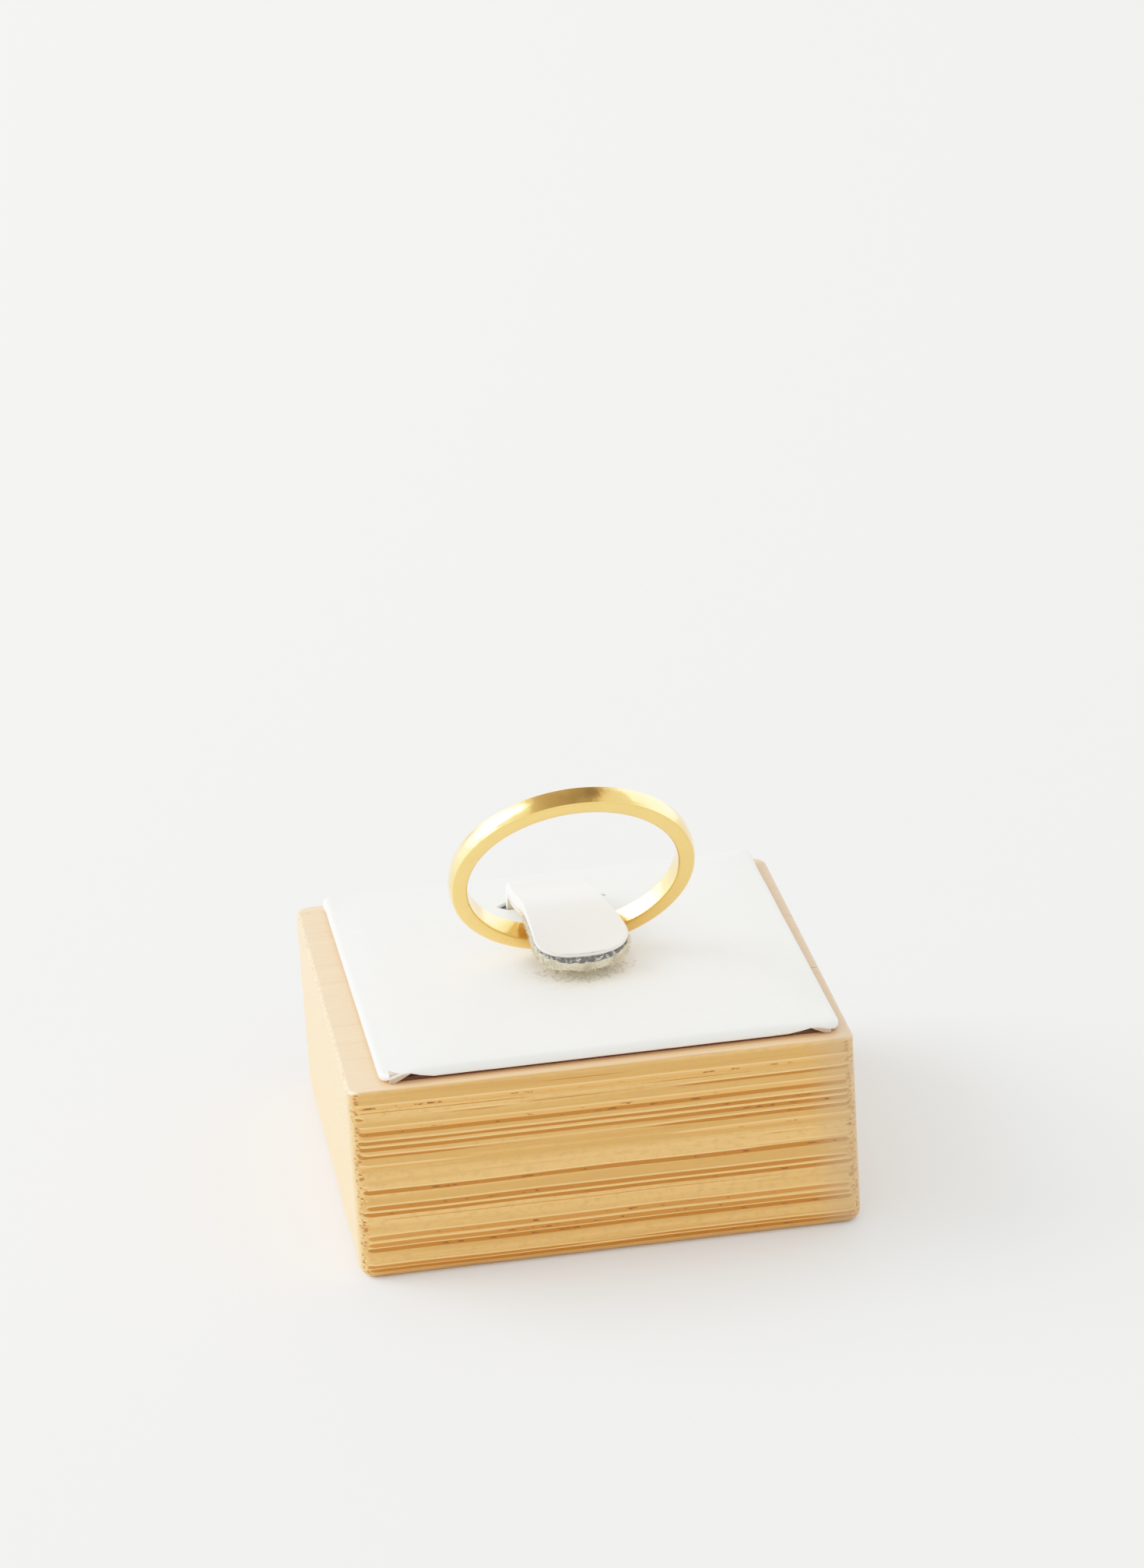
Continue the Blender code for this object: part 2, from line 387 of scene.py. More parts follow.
def mixed(share, first, second):
    """Two colours mixed; each is a colour or another node's output."""
    made = fed_node("Mix", share, "Factor")
    made.data_type = "RGBA"
    for socket, value in ((made.inputs[6], first), (made.inputs[7], second)):
        if isinstance(value, bpy.types.NodeSocket):
            share.id_data.links.new(value, socket)
        else:
            socket.default_value = (*value, 1.0)
    return made.outputs[2]


def relief(shader, height, depth, strength):
    made = fed_node("Bump", height, "Height", {"Strength": strength, "Distance": depth})
    height.id_data.links.new(made.outputs["Normal"], shader.inputs["Normal"])


def darker(colour, share):
    return tuple(channel * share for channel in colour)


def facing(tree, axis):
    """How far the surface faces along one axis, either way, from 0 to 1."""
    source = tree.nodes.new("ShaderNodeTexCoord")
    return maths("ABSOLUTE", axes_of(source.outputs["Normal"])[axis], 0.0)


def moved_by(source, shift, factors=None):
    """The source plus a shift, or plus another node's value times some factors."""
    made = fed_node("VectorMath", shift if factors else source, 0)
    made.operation = "MULTIPLY_ADD" if factors else "ADD"
    made.inputs[1].default_value = factors or shift
    if factors:
        source.id_data.links.new(source, made.inputs[2])
    return made.outputs[0]


def bundles_at(source, scale, smallest, largest):
    """Bundles along X with radii between two limits: how far out in its bundle a place is, and a chance."""
    axes = axes_of(source)
    section = fed_node("CombineXYZ", axes["Y"], "X")
    source.id_data.links.new(axes["Z"], section.inputs["Y"])
    cells = cells_at(section.outputs[0], scale)
    cells.voronoi_dimensions = "2D"
    chance = fed_node("SeparateColor", cells.outputs["Color"], 0).outputs
    size = spread(chance[0], 0.0, 1.0, 1 / largest, 1 / smallest)
    return times(cells.outputs["Distance"], size), chance[1]


def bamboo(settings):
    """Fibre bundles that run along X: lines on the long faces, dots on the ends."""
    made, tree, shader, place = new_material("bamboo", settings.flesh, 0.45)
    start = moved_by(place, (0.0, 1.9, 2.7))
    drift = noise_at(stretched(place, (0.035, 0.1, 0.1)), detail=2.0, output="Color")
    wander = moved_by(start, drift, (0.0, 0.55, 0.5))
    scale = MM / settings.bundle_spacing
    near, chance = bundles_at(wander, scale, 0.16, 0.35)
    thin, thin_chance = bundles_at(moved_by(wander, (0.0, 3.1, 1.7)), scale * 1.7, 0.1, 0.24)
    beside, _ = bundles_at(moved_by(wander, (0.0, 0.0, -0.13)), scale, 0.16, 0.35)
    sheath = times(spread(near, 1.08, 0.82), spread(chance, 0.05, 0.6, 0.4, 1.0))
    line = times(spread(thin, 1.1, 0.75), spread(thin_chance, 0.1, 0.8, 0.15, 0.95))
    gleam = spread(beside, 1.15, 0.8)
    breaks = noise_at(stretched(place, (0.9, 2.5, 2.5)))
    pits = times(spread(near, 0.42, 0.3), spread(breaks, 0.57, 0.64))
    threads = noise_at(stretched(wander, (0.03, 3.0, 3.0)), detail=4.0, roughness=0.65)
    bands = noise_at(stretched(wander, (0.015, 0.7, 0.7)), detail=2.0)
    crumbs = noise_at(stretched(place, (1.2, 2.4, 2.4)), detail=4.0, roughness=0.7)
    to_end = facing(tree, "X")
    ends = spread(to_end, 0.55, 0.9)
    rounding = times(spread(to_end, 0.25, 0.5), spread(ends, 0.6, 1.0, 0.75, 0.2))
    dots = times(spread(thin, 1.8, 1.3), rounding)

    flesh, pale, fibre = settings.flesh, settings.pale, settings.fibre
    between = tuple((f + g) / 2 for f, g in zip(flesh, fibre))
    ochre = tuple(f + g * 0.35 for f, g in zip(fibre, pale))
    painted_shade_olive, hazel = (0.43, 0.29, 0.15), (0.48, 0.25, 0.08)
    colour = mixed(spread(bands, 0.4, 0.68), flesh, pale)
    colour = mixed(spread(threads, 0.54, 0.72, 0.0, 0.6), colour, between)
    colour = mixed(spread(threads, 0.44, 0.3, 0.0, 0.6), colour, pale)
    colour = mixed(spread(crumbs, 0.46, 0.7, 0.0, 0.6), colour, hazel)
    # Painted highlight: a paler streak just beside each fibre bundle.
    colour = mixed(times(gleam, 0.8), colour, tuple(channel * 1.1 + 0.04 for channel in pale))
    colour = mixed(line, colour, mixed(spread(thin_chance, 0.3, 0.8), ochre, fibre))
    colour = mixed(sheath, colour, mixed(spread(chance, 0.3, 0.6), ochre, fibre))
    # The top, bottom and ends are made paler and whiter than the front, most of all on the ends: partly the
    # paler look of those cut faces, partly painted sheen and light that the top and the left end catch.
    off_front_pale_and_painted_sheen = times(spread(facing(tree, "Y"), 0.75, 0.35), 0.8)
    colour = mixed(off_front_pale_and_painted_sheen, colour, tuple(channel * 0.85 + 0.16 for channel in pale))
    colour = mixed(times(ends, 0.5), colour, pale)
    colour = mixed(dots, colour, darker(fibre, 0.75))
    # Painted shade: towards the right end the wood is mixed towards a dull olive, standing in for the shade
    # on that side.
    right_end_painted_shade = spread(axes_of(place)["X"], 15.5, 19.0, 0.0, 0.5)
    colour = mixed(right_end_painted_shade, colour, painted_shade_olive)
    colour = mixed(pits, colour, darker(fibre, 0.45))
    tree.links.new(colour, shader.inputs["Base Color"])
    tree.links.new(spread(crumbs, 0.3, 0.7, 0.4, 0.55), shader.inputs["Roughness"])
    shader.inputs["Coat Weight"].default_value = 0.05
    shader.inputs["Specular IOR Level"].default_value = 0.35
    shader.inputs["Coat Roughness"].default_value = 0.35
    hollows = maths("ADD", pits, dots)
    height = maths("SUBTRACT", times(threads, 0.5), hollows)
    height = maths("SUBTRACT", height, times(sheath, 0.4))
    relief(shader, height, 0.05 * MM, 0.8)
    return made


def leatherette(name, white, painted_shadow=None):
    """Coated cloth with a fine pebbled grain; the last argument, if given, is a painted shadow as (middle,
    size in millimetres, colour).
    """
    made, tree, shader, place = new_material(name, white, 0.48)
    grain_size = 0.32
    pebbles = cells_at(place, 1 / grain_size)
    clouds = noise_at(place, scale=0.35, detail=4.0)
    colour = mixed(spread(clouds, 0.3, 0.75), white, darker(white, 0.975))
    # Painted shade: the creases between the pebbles are darkened a little.
    crease_shade = spread(pebbles.outputs["Distance"], 0.45, 0.75, 0.0, 0.1)
    colour = mixed(crease_shade, colour, darker(white, 0.8))
    # Painted shadow: a ragged patch round a given middle, mixed towards a darker tint.
    if painted_shadow:
        middle, size, tint = painted_shadow
        patchy = noise_at(place, scale=1.6, detail=4.0, roughness=0.7)
        ragged = maths("ADD", away_from(place, middle), times(patchy, size))
        colour = mixed(spread(ragged, size * 1.5, size * 0.9, 0.0, 0.6), colour, tint)
    tree.links.new(colour, shader.inputs["Base Color"])
    tree.links.new(spread(clouds, 0.3, 0.7, 0.42, 0.56), shader.inputs["Roughness"])
    shader.inputs["Specular IOR Level"].default_value = 0.4
    bumps = noise_at(place, scale=2.2, detail=5.0, roughness=0.6)
    height = maths("SUBTRACT", times(bumps, 0.4), pebbles.outputs["Distance"])
    relief(shader, height, 0.012 * MM, 0.7)
    return made


def felted(name, colour, dark, specks):
    """A fuzzy layer of short fibres with darker specks."""
    made, tree, shader, place = new_material(name, colour, 0.9)
    fibres = noise_at(stretched(place, (5.0, 5.0, 9.0)), detail=5.0, roughness=0.75)
    dots = noise_at(place, scale=3.6, roughness=0.7)
    shade = mixed(spread(fibres, 0.35, 0.7), colour, darker(colour, 0.72))
    shade = mixed(spread(dots, 0.66 - specks, 0.78 - specks), shade, dark)
    tree.links.new(shade, shader.inputs["Base Color"])
    shader.inputs["Sheen Weight"].default_value = 0.25
    shader.inputs["Sheen Roughness"].default_value = 0.5
    relief(shader, fibres, 0.09 * MM, 0.9)
    return made


def polished_gold(settings):
    """Polished metal with faint turning marks that run round the band."""
    made, tree, shader, place = new_material("polished gold", settings.gold, settings.polish, metallic=1.0)
    turning = stretched(place, (0.35, 0.35, 14.0), rotation=(settings.lean - math.pi / 2, 0, 0))
    marks = noise_at(turning)
    dents = noise_at(place, scale=0.9, roughness=0.6)
    smudges = noise_at(place, scale=0.5, detail=4.0)
    tone = mixed(spread(smudges, 0.3, 0.75), settings.gold, darker(settings.gold, 0.95))
    tree.links.new(tone, shader.inputs["Base Color"])
    rough = spread(smudges, 0.3, 0.75, settings.polish * 0.75, settings.polish * 1.5)
    tree.links.new(rough, shader.inputs["Roughness"])
    height = maths("ADD", times(marks, 0.05), dents)
    shader.inputs["Coat Weight"].default_value = 0.5
    shader.inputs["Coat Roughness"].default_value = 0.18
    relief(shader, height, 0.03 * MM, 0.6)
    return made


def plain_card(name, colour):
    """Card with a soft mottle, seen only in narrow gaps; both cards made with it are near-black painted
    shade.
    """
    made, tree, shader, place = new_material(name, colour, 0.85)
    mottle = noise_at(place, scale=1.5, detail=4.0)
    shade = mixed(spread(mottle, 0.3, 0.7), colour, darker(colour, 0.8))
    tree.links.new(shade, shader.inputs["Base Color"])
    relief(shader, mottle, 0.03 * MM, 0.5)
    return made


# The ring's place, which the tab follows

def ring_axes(ring):
    """The ring's own directions: to its right, up in its plane, and out of its back."""
    turned = Matrix.Rotation(ring.turn, 3, "Z")
    right = turned @ Vector((1, 0, 0))
    back = turned @ Vector((0, math.cos(ring.lean), math.sin(ring.lean)))
    return right, right.cross(back), back


def ring_centre():
    low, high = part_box("ring_band")
    return (low + high) / 2


def ring_section(ring):
    """The band's section as (distance from the axis, place along it)."""
    half = ring.width / 2
    soft = ring.edge_radius
    bore = ring.bore / 2
    shoulder = bore + ring.wall - ring.crown
    quarter = math.pi / 2
    reach = half - soft
    crown_radius = (reach**2 + ring.crown**2) / (2 * ring.crown)
    swing = math.asin(reach / crown_radius)
    section = arc_points((bore + soft, -half + soft), soft, 2 * quarter, 3 * quarter, 5)
    section += arc_points((shoulder - soft, -half + soft), soft, -quarter, 0.0, 5)
    section += arc_points((bore + ring.wall - crown_radius, 0.0), crown_radius, -swing, swing, 12)[1:-1]
    section += arc_points((shoulder - soft, half - soft), soft, 0.0, quarter, 5)
    section += arc_points((bore + soft, half - soft), soft, quarter, 2 * quarter, 5)
    return section


class RINGDISPLAY_OT_ring(bpy.types.Operator):
    """Makes the polished band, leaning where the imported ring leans"""

    bl_idname = "ring_display.ring"
    bl_label = "Polished ring"

    def execute(self, context):
        ring = context.scene.ring_display_ring
        band = bmesh.new()
        corners = [band.verts.new((out, 0.0, along)) for out, along in ring_section(ring)]
        loop = [band.edges.new((a, b)) for a, b in zip(corners, corners[1:] + corners[:1])]
        bmesh.ops.spin(
            band,
            geom=corners + loop,
            cent=(0, 0, 0),
            axis=(0, 0, 1),
            angle=math.tau,
            steps=ring.sides,
            use_merge=True,
        )
        bmesh.ops.remove_doubles(band, verts=band.verts, dist=1e-7)
        bmesh.ops.recalc_face_normals(band, faces=band.faces)
        right, up, back = ring_axes(ring)
        turned = Matrix((right, up, back)).transposed().to_4x4()
        bmesh.ops.transform(band, matrix=Matrix.Translation(ring_centre()) @ turned, verts=band.verts)
        finished_piece("polished_ring", band, polished_gold(ring), ["ring_band"])
        return {"FINISHED"}


class RINGDISPLAY_OT_block(bpy.types.Operator):
    """Makes the sanded bamboo block with slightly uneven rounded edges"""

    bl_idname = "ring_display.block"
    bl_label = "Bamboo block"

    def execute(self, context):
        block = context.scene.ring_display_block
        low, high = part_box("bamboo_block")
        wood = rounded_box(low, high, block.upright_radius, block.rim_radius, block.foot_radius, 6)
        for axis in range(3):
            slice_across(wood, axis, evenly(low[axis], high[axis], 1.6 * MM))
        bmesh.ops.recalc_face_normals(wood, faces=wood.faces)
        wood.normal_update()
        mean_wear = 0.35
        moves = []
        for point in wood.verts:
            on_edge = min(1.0, 3 * (1 - max(abs(c) for c in point.normal)))
            along = Vector((point.co.x * 0.35, point.co.y, point.co.z)) / MM
            wear = noise.fractal(along * 0.9, 1.0, 2.0, 3)
            moves.append(point.normal * (block.unevenness * on_edge * (wear - mean_wear)))
        for point, move in zip(wood.verts, moves):
            if point.co.z > low.z + 0.02 * MM:
                point.co += move
        finished_piece("bamboo_body", wood, bamboo(block), ["bamboo_block"])
        return {"FINISHED"}


# Each corner of the pad's cover: side along X, side along Y, then in millimetres how far it is lifted,
# how far it reaches outwards, and how high the edge beside it stands off for the tucked fold
COVER_CORNERS = (
    (-1, -1, -0.02, 0.0, 0.5),
    (1, -1, 0.1, 0.05, 0.32),
    (-1, 1, 0.5, 0.45, 0.2),
    (1, 1, 0.62, 0.1, 0.2),
)


def cover_shape(point, pad, half):
    """Where a point of the flat cover lies once it is wrapped: softer edges and full corners."""
    share = min(max((point.z - pad.underside) / (pad.top - pad.underside), 0.0), 1.0)
    to_side = half.x - abs(point.x)
    to_end = half.y - abs(point.y)
    dip = 0.32 * fading(to_side, 2.2 * MM) + 0.12 * fading(to_end, 1.3 * MM)
    ripple = noise.noise(Vector((point.x, point.y, 0)) / MM * 0.8)
    at_edge = math.exp(-(min(to_side, to_end) / (0.8 * MM)))
    wave = noise.noise(Vector((point.x, point.y, 7 * MM)) / MM * 0.16)
    moved = point.copy()
    moved.z -= dip * MM * share
    moved.z += 0.035 * MM * ripple * at_edge
    moved.z += 0.03 * MM * wave * share
    for side, end, lift, reach, gap in COVER_CORNERS:
        away = math.hypot(point.x - side * half.x, point.y - end * half.y) / MM
        near = fading(away, 1.8)
        at_tip = fading(away, 1.05)
        beside = fading((half.x - side * point.x) / MM - 2.1, 1.2)
        stands_off = gap * beside * fading((half.y - end * point.y) / MM, 1.6)
        moved.z += lift * MM * near * share + (stands_off - 0.18 * at_tip) * MM * (1 - share)
        moved.x += side * reach * MM * 0.7 * at_tip
        moved.y += end * reach * MM * 0.7 * at_tip
    return moved


def cut_slit(cover, slit, reach):
    """Opens the slit through the cover, drawn together at its two ends and walled round."""
    inside = []
    for face in cover.faces:
        away = face.calc_center_median() - slit
        if abs(away.x) < reach.x and abs(away.y) < reach.y and abs(face.normal.z) > 0.5:
            inside.append(face)
    bmesh.ops.delete(cover, geom=inside, context="FACES")
    rims = [e for e in cover.edges if e.is_boundary]
    for point in {v for e in rims for v in e.verts}:
        if abs(abs(point.co.x - slit.x) - reach.x) < 0.01 * MM:
            point.co.y = slit.y + (point.co.y - slit.y) * 0.15
            point.co.x += 0.4 * MM * (point.co.x > slit.x)
    bmesh.ops.bridge_loops(cover, edges=rims)


def wrapped_cover(pad, tab, half, slit, reach):
    """The cover as a closed shell, with more rows of points near its edges and the slit."""
    low = Vector((-half.x, -half.y, pad.underside))
    high = Vector((half.x, half.y, pad.top))
    cover = rounded_box(low, high, upright=1.25 * MM, rim=0.5 * MM, foot=0.2 * MM, segments=5)
    from_edge = [0.5, 0.9, 1.3, 1.8, 2.4, 3.2, 4.2, 5.6, 7.5, 10.0, 13.0]
    for axis in range(2):
        marks = [sign * (half[axis] - step * MM) for sign in (-1, 1) for step in from_edge]
        slice_across(cover, axis, marks + [0.0, slit[axis] - reach[axis], slit[axis] + reach[axis]])
    slice_across(cover, 0, [slit.x - tab.width / 2, slit.x + tab.width / 2])
    cut_slit(cover, slit, reach)
    bmesh.ops.recalc_face_normals(cover, faces=cover.faces)
    for point in cover.verts:
        point.co = cover_shape(point.co, pad, half)
    return cover


def flat_board(pad, half):
    """The board inside the cover, which shows only in the gap above the wood; its near-black colour is
    painted shade for that gap.
    """
    inset = Vector((0.5 * MM, 0.5 * MM, 0))
    wood_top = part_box("bamboo_block")[1].z
    low = Vector((-half.x, -half.y, wood_top + 0.01 * MM)) + inset
    high = Vector((half.x, half.y, pad.underside + 0.02 * MM)) - inset
    return rounded_box(low, high, upright=0.9 * MM, rim=0, foot=0, segments=2)


def slit_shade_lining(pad, slit, reach):
    """The near-black inside of the slit, painted shade that closes it below the cover's top."""
    edge = Vector((0.2 * MM, 0.2 * MM, 0))
    low = Vector((slit.x, slit.y, pad.underside + 0.05 * MM)) - reach - edge
    high = Vector((slit.x, slit.y, pad.top - 0.3 * MM)) + reach + edge
    return rounded_box(low, high, upright=0.15 * MM, rim=0, foot=0, segments=2)


def fold_at_corner(pad, half, side, end, gap):
    """The raw edge of the cover that is tucked under one corner, as a flat wedge."""
    fold = bmesh.new()
    length = 2.2 + gap
    drop = pad.underside + (0.05 + gap) * MM
    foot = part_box("bamboo_block")[1].z + 0.02 * MM
    outline = [(0.75, foot), (1.15, foot), (length, drop), (0.75, drop)]
    corners = [fold.verts.new((half.x - along * MM, half.y - 0.08 * MM, z)) for along, z in outline]
    face = fold.faces.new(corners)
    walls = bmesh.ops.extrude_face_region(fold, geom=[face], use_keep_orig=True)
    moved = [v for v in walls["geom"] if isinstance(v, bmesh.types.BMVert)]
    bmesh.ops.translate(fold, verts=moved, vec=(0, -1.2 * MM, 0))
    round_edges(fold, fold.edges[:], 0.07 * MM, 2)
    mirror = Matrix.Diagonal((side, end, 1, 1))
    bmesh.ops.transform(fold, matrix=mirror, verts=fold.verts)
    bmesh.ops.recalc_face_normals(fold, faces=fold.faces)
    return fold


def corner_folds(pad, half):
    """The folds of all four corners in one mesh."""
    folds = bmesh.new()
    for side, end, _, _, gap in COVER_CORNERS:
        fold = fold_at_corner(pad, half, side, end, gap)
        held = bpy.data.meshes.new("fold")
        fold.to_mesh(held)
        fold.free()
        folds.from_mesh(held)
        bpy.data.meshes.remove(held)
    return folds


class RINGDISPLAY_OT_pad(bpy.types.Operator):
    """Makes the covered pad: a board, its wrapped cover with a slit, and the folds under its corners"""

    bl_idname = "ring_display.pad"
    bl_label = "Covered pad"

    def execute(self, context):
        pad = context.scene.ring_display_pad
        tab = context.scene.ring_display_tab
        packed_low, packed_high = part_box("leatherette_pad")
        middle = (packed_low + packed_high) / 2
        place = Matrix.Translation((middle.x + 0.25 * MM, middle.y, 0)) @ Matrix.Rotation(pad.turn, 4, "Z")
        half = Vector((pad.width / 2, pad.depth / 2, 0))
        slit = place.inverted() @ slit_middle()
        reach = Vector((pad.slit_width / 2, tab.thickness / 2 + 0.3 * MM, 0))
        cover = wrapped_cover(pad, tab, half, slit, reach)
        bmesh.ops.transform(cover, matrix=place, verts=cover.verts)
        # Painted shadow on the cover under the tab's tip, tinted like the felt.
        under_tip = (slit.x / MM + 1.0, slit.y / MM - 15.6, pad.top / MM)
        shadow_under_tip = (under_tip, 4.5, darker(tab.felt, 0.67))
        white = leatherette("white leatherette", pad.white, painted_shadow=shadow_under_tip)
        finished_piece("pad_cover", cover, white, ["leatherette_pad"], math.radians(55.0))

        # Painted shade: the board is near-black so the narrow gap between the cover and the wood reads as
        # shade.
        gap_shade_paint = plain_card("gap shade card", (0.1, 0.035, 0.02))
        # Painted shade: the slit's lining is near-black so the slit reads as a dark hole.
        dark = plain_card("slit shade card", (0.03, 0.04, 0.06))
        backing = felted("leatherette backing", pad.backing, darker(pad.backing, 0.6), 0.0)
        for name, shape, surface in (
            ("pad_board", flat_board(pad, half), gap_shade_paint),
            ("slit_lining", slit_shade_lining(pad, slit, reach), dark),
            ("pad_corner_folds", corner_folds(pad, half), backing),
        ):
            bmesh.ops.transform(shape, matrix=place, verts=shape.verts)
            finished_piece(name, shape, surface)
        return {"FINISHED"}


# The rows of points along the tab: up to its rounded tip, round the tip, where its layers start to part,
# and the first that sheds fibres

STRAIGHT_ROWS = 64
TIP_ROWS = 18
LAYERS_PART_FROM = 38
FUZZ_FROM = 44


def slit_middle():
    """The middle of the slit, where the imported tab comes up."""
    low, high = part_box("holding_tab")
    tab = bpy.context.scene.ring_display_tab
    return Vector((low.x + tab.width / 2, high.y - tab.thickness / 2, 0))


def tab_path(ring, tab, start, overrun):
    """The tab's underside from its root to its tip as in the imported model, and where its tip may shift."""
    _, up, back = ring_axes(ring)
    below_axis = math.sqrt((ring.bore / 2) ** 2 - (tab.width / 2) ** 2)
    rim = ring_centre() + back * (ring.width / 2) - up * below_axis
    pad_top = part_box("leatherette_pad")[1].z
    crest = slit_middle().y - tab.thickness / 2 - rim.y
    crest_z = rim.z + 0.25 * MM
    neck = 1.6 * MM
    neck_z = pad_top + 1.5 * MM
    tip = 16.8 * MM - tab.thickness / 2
    tip_z = pad_top + 0.98 * MM
    curves = (
        ((0, start), (0, start), (0, pad_top), (0, pad_top)),
        ((0, pad_top), (0, pad_top + 0.75 * (neck_z - pad_top)), (0.3 * neck, neck_z), (neck, neck_z)),
        (
            (neck, neck_z),
            (neck + 0.3 * (crest - neck), neck_z),
            (crest - 0.25 * (crest - neck), crest_z),
            (crest, crest_z),
        ),
        (
            (crest, crest_z),
            (crest + 0.25 * (tip - crest), crest_z),
            (tip - 0.45 * (tip - crest), tip_z + 0.3 * (crest_z - tip_z)),
            (tip, tip_z),
        ),
    )
    points = [Vector((0, 0, start))]
    for curve in curves:
        knots = [Vector((forward, 0, height)) for forward, height in curve]
        points += interpolate_bezier(*knots, 25)[1:]
    points.append(points[-1] + (points[-1] - points[-2]).normalized() * max(overrun, 0.001 * MM))
    return points, crest - ring.width / 2


def point_and_rise(points, distance):
    """The point at this distance along the path, and the direction out of its upper side."""
    for here, there in zip(points, points[1:]):
        step = (there - here).length
        if distance <= step:
            break
        distance -= step
    ahead = (there - here).normalized()
    return here + ahead * distance, Vector((-ahead.z, 0, ahead.x))


def ease(share):
    share = min(max(share, 0.0), 1.0)
    return share * share * (3 - 2 * share)


def tab_rows(ring, tab, start, overrun, sideways):
    """Rows across the tab, as (point of the underside, its upward direction, half width, side shift)."""
    points, shift_start = tab_path(ring, tab, start, overrun)
    half = tab.width / 2 + sideways
    length = sum((b - a).length for a, b in zip(points, points[1:]))
    straight = length - tab.tip_round - overrun
    stops = [(straight * i / STRAIGHT_ROWS, 1.0) for i in range(STRAIGHT_ROWS + 1)]
    for i in range(1, TIP_ROWS + 1):
        angle = math.radians(87.5) * i / TIP_ROWS
        stops.append((straight + (tab.tip_round + overrun) * math.sin(angle), math.cos(angle) ** 0.8))
    shift_length = 4.8 * MM
    neck_narrowing = 0.25 * MM
    rows = []
    for distance, share in stops:
        point, rise = point_and_rise(points, distance)
        forward = ease((point.x - shift_start) / shift_length)
        narrowed = neck_narrowing * (1 - forward)
        flared = tab.tip_flare / 2 * forward
        shift = tab.tip_shift * forward - narrowed - flared
        rows.append((point, rise, (half - narrowed + flared) * share, shift))
    return rows


def placed_on_tab(row, across, height, root):
    """A place on the tab: across from -1 to 1, and a height above the underside."""
    point, rise, half, shift = row
    lifted = point + rise * height
    return Vector((root.x + across * half + shift, root.y - lifted.x, lifted.z))


def uneven_shift(place):
    """A shift that varies with the place and repeats on every run, which noise_vector doesn't."""
    return Vector([noise.noise(place + Vector((step, 0, 0))) for step in (11.3, 47.1, 83.7)])


def tab_layer(rows, heights, root, softness, ripple):
    """One closed, ragged layer of the tab between two heights, each given at the root and at the tip."""
    layer = bmesh.new()
    bmesh.ops.create_grid(layer, x_segments=40, y_segments=len(rows) - 1, size=1.0)
    at_row = layer.verts.layers.int.new("row")
    at_side = layer.verts.layers.float.new("side")
    for point in layer.verts:
        point[at_row] = round((1 - point.co.y) / 2 * (len(rows) - 1))
        point[at_side] = point.co.x
    upper = bmesh.ops.extrude_face_region(layer, geom=layer.faces[:], use_keep_orig=True)
    lifted = {v for v in upper["geom"] if isinstance(v, bmesh.types.BMVert)}
    for point in layer.verts:
        at_root, at_tip = heights[1] if point in lifted else heights[0]
        forward = ease((point[at_row] - LAYERS_PART_FROM) / (STRAIGHT_ROWS - LAYERS_PART_FROM))
        height = at_root + (at_tip - at_root) * forward
        point.co = placed_on_tab(rows[point[at_row]], point[at_side], height, root)
        point.co += ripple * forward * uneven_shift(point.co / MM * 1.9)
    bmesh.ops.recalc_face_normals(layer, faces=layer.faces)
    if softness:
        steep = math.radians(50.0)
        sharp = [e for e in layer.edges if len(e.link_faces) == 2 and e.calc_face_angle(0.0) > steep]
        round_edges(layer, sharp, softness, 3)
    return layer


def hair(hairs, chance, base, out, length):
    """One loose fibre, a thin cone that starts inside its layer."""
    turned = Vector((0, 0, 1)).rotation_difference(out).to_matrix().to_4x4()
    bmesh.ops.create_cone(
        hairs,
        cap_ends=True,
        segments=3,
        radius1=chance.uniform(0.02, 0.05) * MM,
        radius2=0.015 * MM,
        depth=length,
        matrix=Matrix.Translation(base + out * length * 0.3) @ turned,
    )


def fuzz(rows, root, low, high, count):
    """Short loose fibres that stick out of the backing's edge."""
    hairs = bmesh.new()
    chance = random.Random(11)
    share_at_tip = 0.7
    first_end_row = len(rows) - 5
    for _ in range(count):
        at_tip = chance.random() < share_at_tip
        first, last = (STRAIGHT_ROWS, len(rows)) if at_tip else (FUZZ_FROM, STRAIGHT_ROWS)
        index = chance.randrange(first, last)
        side = chance.choice((-1, 1)) * (1.0 if index < first_end_row else chance.random())
        height = low + (high - low) * chance.random()
        base = placed_on_tab(rows[index], side * 0.985, height, root)
        inner = placed_on_tab(rows[max(index - 12, 0)], side * 0.3, height, root)
        out = (base - inner).normalized()
        out += Vector((chance.uniform(-0.9, 0.9), chance.uniform(-0.9, 0.9), chance.uniform(-0.9, 0.7)))
        hair(hairs, chance, base, out.normalized(), chance.uniform(0.15, 0.45) * MM)
    return hairs


def shed_fuzz(rows, root, height, count):
    """Loose fibres that have fallen on the pad round the tip."""
    hairs = bmesh.new()
    chance = random.Random(5)
    for _ in range(count):
        row = rows[chance.randrange(STRAIGHT_ROWS, len(rows))]
        base = placed_on_tab(row, chance.uniform(-1.1, 1.1), 0.0, root)
        base += Vector((chance.gauss(0.0, 0.25), chance.gauss(-0.35, 0.3), 0)) * MM
        base.z = height
        turn = chance.uniform(0, math.tau)
        out = Vector((math.cos(turn), math.sin(turn), 0.03))
        hair(hairs, chance, base, out, chance.uniform(0.1, 0.35) * MM)
    return hairs


